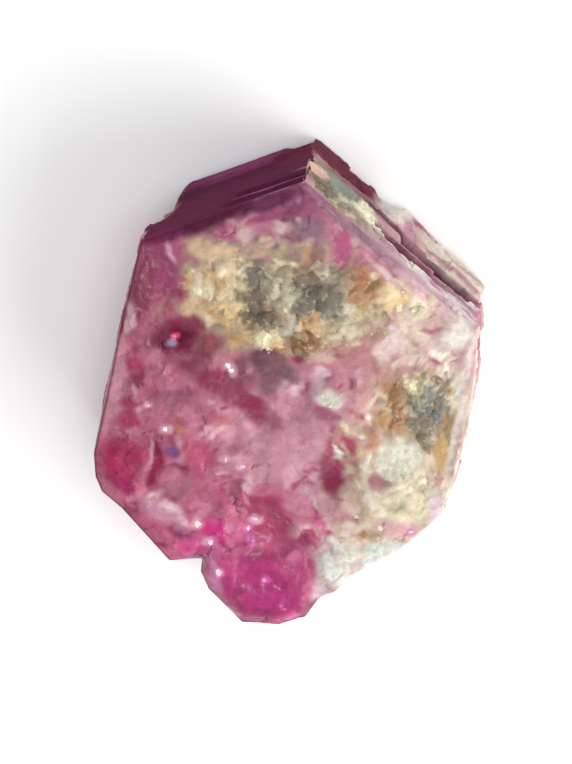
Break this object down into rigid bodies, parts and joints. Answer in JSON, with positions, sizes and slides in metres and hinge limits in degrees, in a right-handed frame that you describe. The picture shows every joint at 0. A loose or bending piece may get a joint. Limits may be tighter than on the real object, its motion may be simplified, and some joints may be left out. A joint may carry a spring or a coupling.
{
  "type": "red beryl crystal",
  "caption": "Short hexagonal prism of red beryl with ledged sides, an etched front base, a rounded lobe at its foot and remnants of rhyolite host rock.",
  "frame": {"origin": "on the resting face, under the middle of the outline", "axes": "+Z along the crystal's c-axis, from its back base to its front base; +Y towards the apex of the front base; +X towards its right-hand corner"},
  "size_m": [0.0096, 0.0118, 0.0052],
  "materials": {
    "red_beryl": "cloudy translucent crystal, glossy where it is clear and satin where it is etched",
    "rhyolite": "matt granular rock, cream to ochre and grey"
  },
  "bodies": {
    "root": {"red_beryl_crystal": "red_beryl", "rhyolite_upper": "rhyolite", "rhyolite_right": "rhyolite", "rhyolite_ledge": "rhyolite"}
  },
  "joints": []
}
